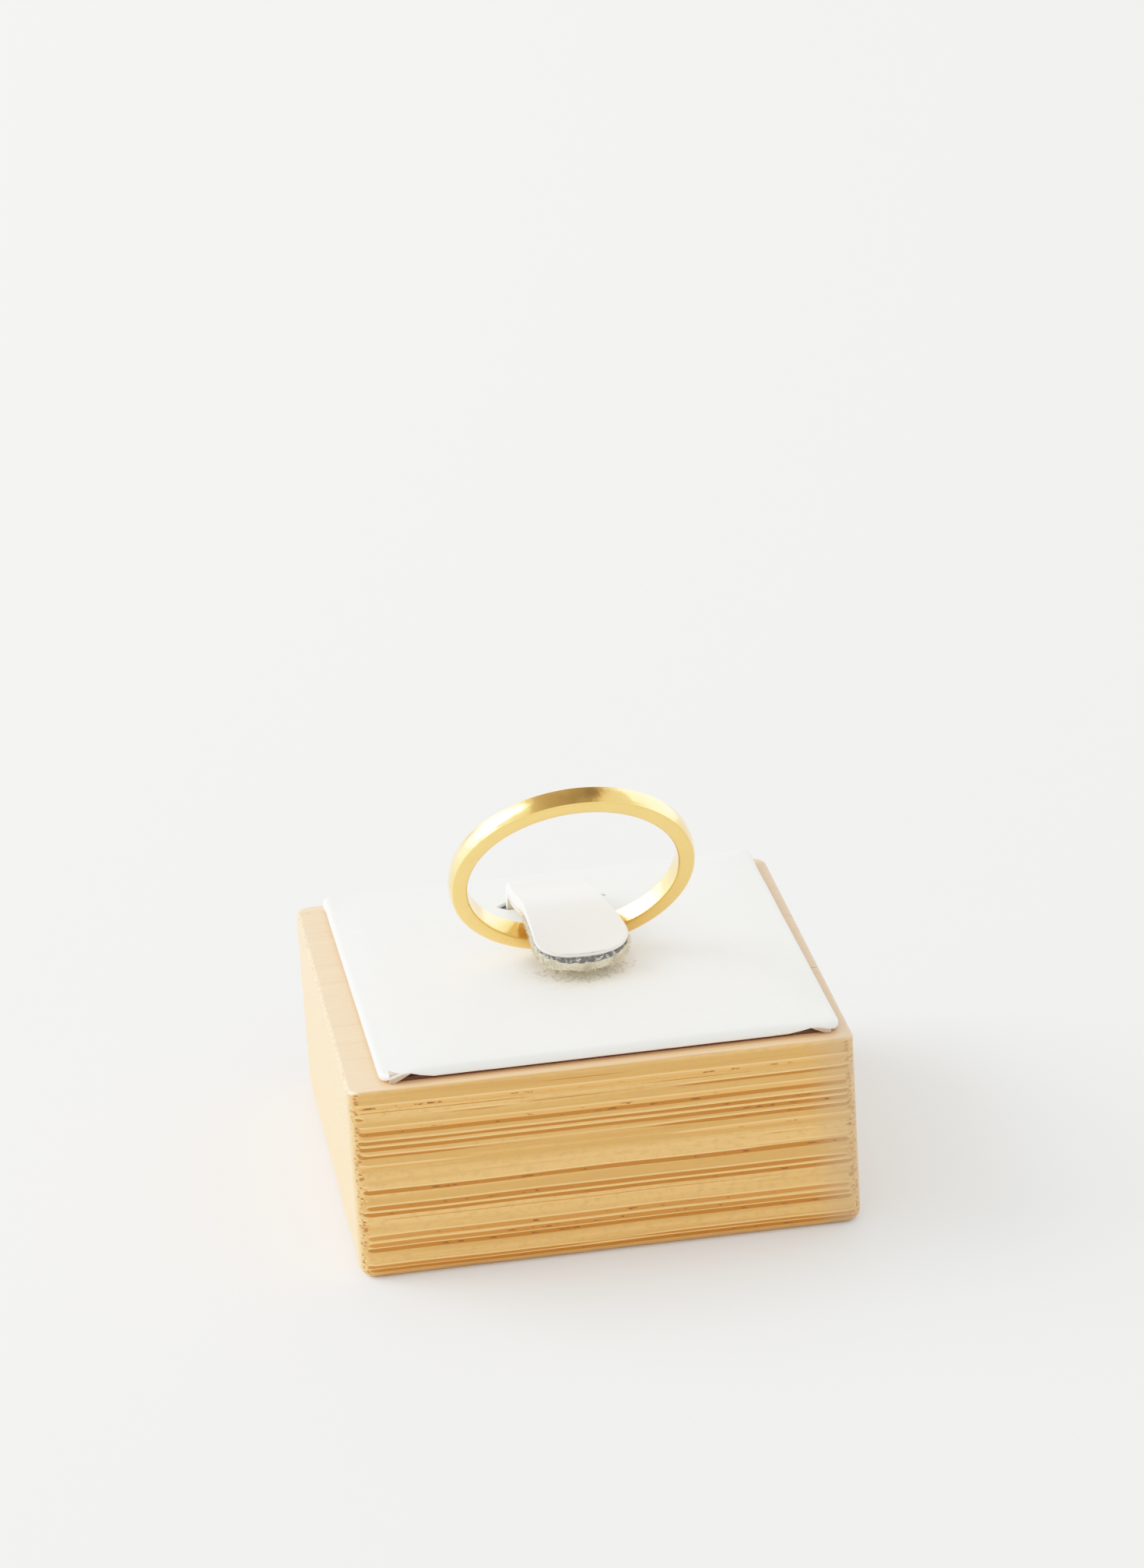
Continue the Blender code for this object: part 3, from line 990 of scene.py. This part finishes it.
class RINGDISPLAY_OT_tab(bpy.types.Operator):
    """Makes the layered holding tab: leatherette skin, dark core, fuzzy backing and loose fibres"""

    bl_idname = "ring_display.tab"
    bl_label = "Holding tab"

    def execute(self, context):
        ring = context.scene.ring_display_ring
        tab = context.scene.ring_display_tab
        pad = context.scene.ring_display_pad
        start = pad.underside + 0.03 * MM
        middle = slit_middle()
        root = Vector((middle.x, middle.y - tab.thickness / 2, 0))
        core_top = tab.thickness - tab.skin
        core_low = core_top - tab.core
        fuzz_low = -0.03 * MM

        # The heights of a layer's underside, at the root and at the tip, and then of its upper side
        sunk = 0.22 * MM
        skin_rows = tab_rows(ring, tab, start, 0.0, 0.0)
        skin_heights = ((sunk, core_top), (tab.thickness, tab.thickness))
        skin = tab_layer(skin_rows, skin_heights, root, 0.15 * MM, 0.0)
        surface = leatherette("tab leatherette", tab.skin_white)
        finished_piece("tab_skin", skin, surface, ["holding_tab"], math.radians(60.0))

        core_rows = tab_rows(ring, tab, start, 0.32 * MM, -0.12 * MM)
        core_heights = ((sunk - 0.06 * MM, core_low + 0.03 * MM), (sunk - 0.01 * MM, core_top - 0.005 * MM))
        core = tab_layer(core_rows, core_heights, root, 0.0, 0.18 * MM)
        dark = felted("tab core", tab.core_grey, (0.62, 0.62, 0.58), 0.14)
        finished_piece("tab_core", core, dark)

        back_rows = tab_rows(ring, tab, start, 0.42 * MM, 0.03 * MM)
        back_heights = ((0.02 * MM, fuzz_low), (sunk - 0.07 * MM, core_low + 0.025 * MM))
        back = tab_layer(back_rows, back_heights, root, 0.0, 0.16 * MM)
        felt = felted("tab felt", tab.felt, (0.3, 0.29, 0.26), 0.08)
        finished_piece("tab_backing", back, felt, smooth_below=math.radians(60.0))

        hairs = fuzz(back_rows, root, fuzz_low, core_low, tab.fuzz_hairs)
        finished_piece("tab_fuzz", hairs, felt)
        shed = shed_fuzz(back_rows, root, pad.top + 0.02 * MM, tab.fuzz_hairs // 6)
        dusty = felted("shed felt", darker(tab.felt, 0.62), (0.25, 0.22, 0.17), 0.08)
        finished_piece("shed_fuzz", shed, dusty)
        return {"FINISHED"}


# The stage

def flat_panel(name, width, depth, place, surface):
    panel = bmesh.new()
    bmesh.ops.create_grid(panel, x_segments=1, y_segments=1, size=0.5)
    bmesh.ops.transform(panel, matrix=place @ Matrix.Diagonal((width, depth, 1, 1)), verts=panel.verts)
    made = surfaced_object(name, panel, surface)
    return made


def reflection_card(name, width, depth, place, surface):
    """A glowing card that shows only in reflections."""
    card = flat_panel(name, width, depth, place, surface)
    for ray in ("camera", "diffuse", "shadow", "transmission", "volume_scatter"):
        setattr(card, "visible_" + ray, False)


def turned_to_origin(spot):
    """A place at the spot whose underside looks at the origin."""
    return Matrix.Translation(spot) @ spot.to_track_quat("Z", "Y").to_matrix().to_4x4()


def glowing(name, colour, stops, round_middle=None):
    """A light card whose strength runs smoothly through stops along X, or out from a middle, in metres."""
    made = bpy.data.materials.new(name)
    made.use_nodes = True
    tree = made.node_tree
    tree.nodes.clear()
    place = tree.nodes.new("ShaderNodeTexCoord").outputs["Object"]
    along = away_from(place, round_middle) if round_middle else axes_of(place)["X"]
    strength = stops[0][1]
    for (low, before), (high, after) in zip(stops, stops[1:]):
        strength = maths("ADD", spread(along, low, high, 0.0, after - before), strength)
    light = tree.nodes.new("ShaderNodeEmission")
    light.inputs["Color"].default_value = (*colour, 1.0)
    tree.links.new(strength, light.inputs["Strength"])
    out = tree.nodes.new("ShaderNodeOutputMaterial")
    tree.links.new(light.outputs[0], out.inputs["Surface"])
    return made


def bright_exposure(view):
    """A bright exposure whose highlights roll off softly, as in a high-key product photograph."""
    view.view_transform = "Standard"
    view.look = "None"
    view.use_curve_mapping = True
    mapping = view.curve_mapping
    reach = 3.0
    mapping.white_level = (reach, reach, reach)
    brightest = 1.02
    curve = mapping.curves[3]
    for light in (0.08, 0.2, 0.35, 0.55, 0.8, 1.1, 1.5, 2.1):
        curve.points.new(light / reach, brightest * (1 - math.exp(-2 * light)))
    curve.points[0].location = (0.0, 0.0)
    curve.points[len(curve.points) - 1].location = (1.0, 1.017)
    mapping.clip_max_y = 1.1
    mapping.update()


def pale_floor(stage):
    paint = new_material("pale floor", stage.floor, 0.7)[0]
    paint.node_tree.nodes["Principled BSDF"].inputs["Specular IOR Level"].default_value = 0.2
    flat_panel("floor", 8.0, 8.0, Matrix.Identity(4), paint)


def even_light(scene, stage):
    world = bpy.data.worlds.new("even light")
    world.use_nodes = True
    sky = world.node_tree.nodes["Background"]
    sky.inputs["Color"].default_value = (1.0, 1.0, 0.99, 1.0)
    sky.inputs["Strength"].default_value = stage.sky
    scene.world = world


def key_light(stage):
    """The large soft light, behind on the left."""
    key = bpy.data.lights.new("key", "AREA")
    key.shape = "RECTANGLE"
    key.size = 1.05
    key.size_y = 1.05
    key.energy = stage.key
    key.color = (1.0, 0.99, 0.97)
    linked_object("key", key).matrix_world = turned_to_origin(Vector((-0.98, 0.5, 0.56)))


def reflection_cards(sky_level):
    """What the polished band mirrors: a dim ceiling, a bright glare and two reflectors, fading to the sky."""
    cream, white = (1.0, 0.95, 0.84), (1.0, 0.99, 0.97)
    ceiling = ((-1.15, sky_level), (-0.75, 0.42), (-0.1, 0.27), (0.3, 0.15), (0.5, 0.15), (0.7, sky_level))
    over = Matrix.Translation((-0.2, 0.15, 1.2))
    reflection_card("ceiling", 1.95, 2.4, over, glowing("ceiling glow", cream, ceiling))

    glare_distance = 1.1
    toward = Vector((-0.77, 0.31, 0.545)).normalized() * glare_distance
    glare = ((0.0, 30.0), (0.33, 26.0), (0.45, sky_level))
    surface = glowing("glare glow", white, glare, toward)
    reflection_card("glare", 0.92, 0.92, turned_to_origin(toward), surface)

    behind = Matrix.Translation((0.0, 1.9, 0.75)) @ Matrix.Rotation(math.pi / 2, 4, "X")
    beside = Matrix.Rotation(math.radians(-62.0), 4, "Z") @ behind
    surface = glowing("back glow", white, ((-1.2, sky_level), (-0.4, 1.5), (0.5, 1.5), (1.2, sky_level)))
    reflection_card("reflector_behind", 2.4, 1.5, behind, surface)
    surface = glowing("side glow", white, ((0.6, sky_level), (1.3, 2.7)))
    reflection_card("reflector_beside", 2.2, 1.9, beside, surface)


def photo_camera(scene):
    """A long lens a little above the block, slightly rolled, as in the photograph."""
    camera = bpy.data.cameras.new("camera")
    camera.sensor_width = 36.0
    camera.lens = 125.12
    camera.clip_start = 0.01
    camera.clip_end = 20.0
    viewer = linked_object("camera", camera)
    azimuth, pitch, roll = math.radians(7.26), math.radians(20.66), math.radians(3.57)
    flat = math.cos(pitch)
    ahead = Vector((math.sin(azimuth) * flat, math.cos(azimuth) * flat, -math.sin(pitch)))
    level = ahead.cross(Vector((0, 0, 1))).normalized()
    right = level * math.cos(roll) - level.cross(ahead) * math.sin(roll)
    turned = Matrix((right, right.cross(ahead), -ahead)).transposed().to_4x4()
    viewer.matrix_world = Matrix.Translation((-0.05, -0.4045, 0.1857)) @ turned
    scene.camera = viewer


class RINGDISPLAY_OT_stage(bpy.types.Operator):
    """Makes the pale floor, the soft light and the camera"""

    bl_idname = "ring_display.stage"
    bl_label = "Stage"

    def execute(self, context):
        scene = context.scene
        stage = scene.ring_display_stage
        bright_exposure(scene.view_settings)
        pale_floor(stage)
        even_light(scene, stage)
        key_light(stage)
        reflection_cards(stage.sky)
        photo_camera(scene)
        return {"FINISHED"}


# The panel and the registration

class RINGDISPLAY_PT_panel(bpy.types.Panel):
    bl_label = "Ring display"
    bl_idname = "RINGDISPLAY_PT_panel"
    bl_space_type = "VIEW_3D"
    bl_region_type = "UI"
    bl_category = "Ring display"

    def draw(self, context):
        for made, group in MAKERS:
            column = self.layout.column(align=True)
            column.operator(made.bl_idname)
            settings = getattr(context.scene, group)
            for name in settings.__annotations__:
                column.prop(settings, name)


GROUPS = (
    ("ring_display_ring", RingSettings),
    ("ring_display_block", BlockSettings),
    ("ring_display_pad", PadSettings),
    ("ring_display_tab", TabSettings),
    ("ring_display_stage", StageSettings),
)

MAKERS = (
    (RINGDISPLAY_OT_ring, "ring_display_ring"),
    (RINGDISPLAY_OT_block, "ring_display_block"),
    (RINGDISPLAY_OT_pad, "ring_display_pad"),
    (RINGDISPLAY_OT_tab, "ring_display_tab"),
    (RINGDISPLAY_OT_stage, "ring_display_stage"),
)


def register():
    for name, group in GROUPS:
        bpy.utils.register_class(group)
        setattr(bpy.types.Scene, name, PointerProperty(type=group))
    for made, _ in MAKERS:
        bpy.utils.register_class(made)
    bpy.utils.register_class(RINGDISPLAY_PT_panel)


def unregister():
    bpy.utils.unregister_class(RINGDISPLAY_PT_panel)
    for made, _ in reversed(MAKERS):
        bpy.utils.unregister_class(made)
    for name, group in reversed(GROUPS):
        delattr(bpy.types.Scene, name)
        bpy.utils.unregister_class(group)


def main():
    register()
    bpy.ops.ring_display.stage()
    bpy.ops.ring_display.block()
    bpy.ops.ring_display.pad()
    bpy.ops.ring_display.tab()
    bpy.ops.ring_display.ring()


if __name__ == "__main__":
    main()
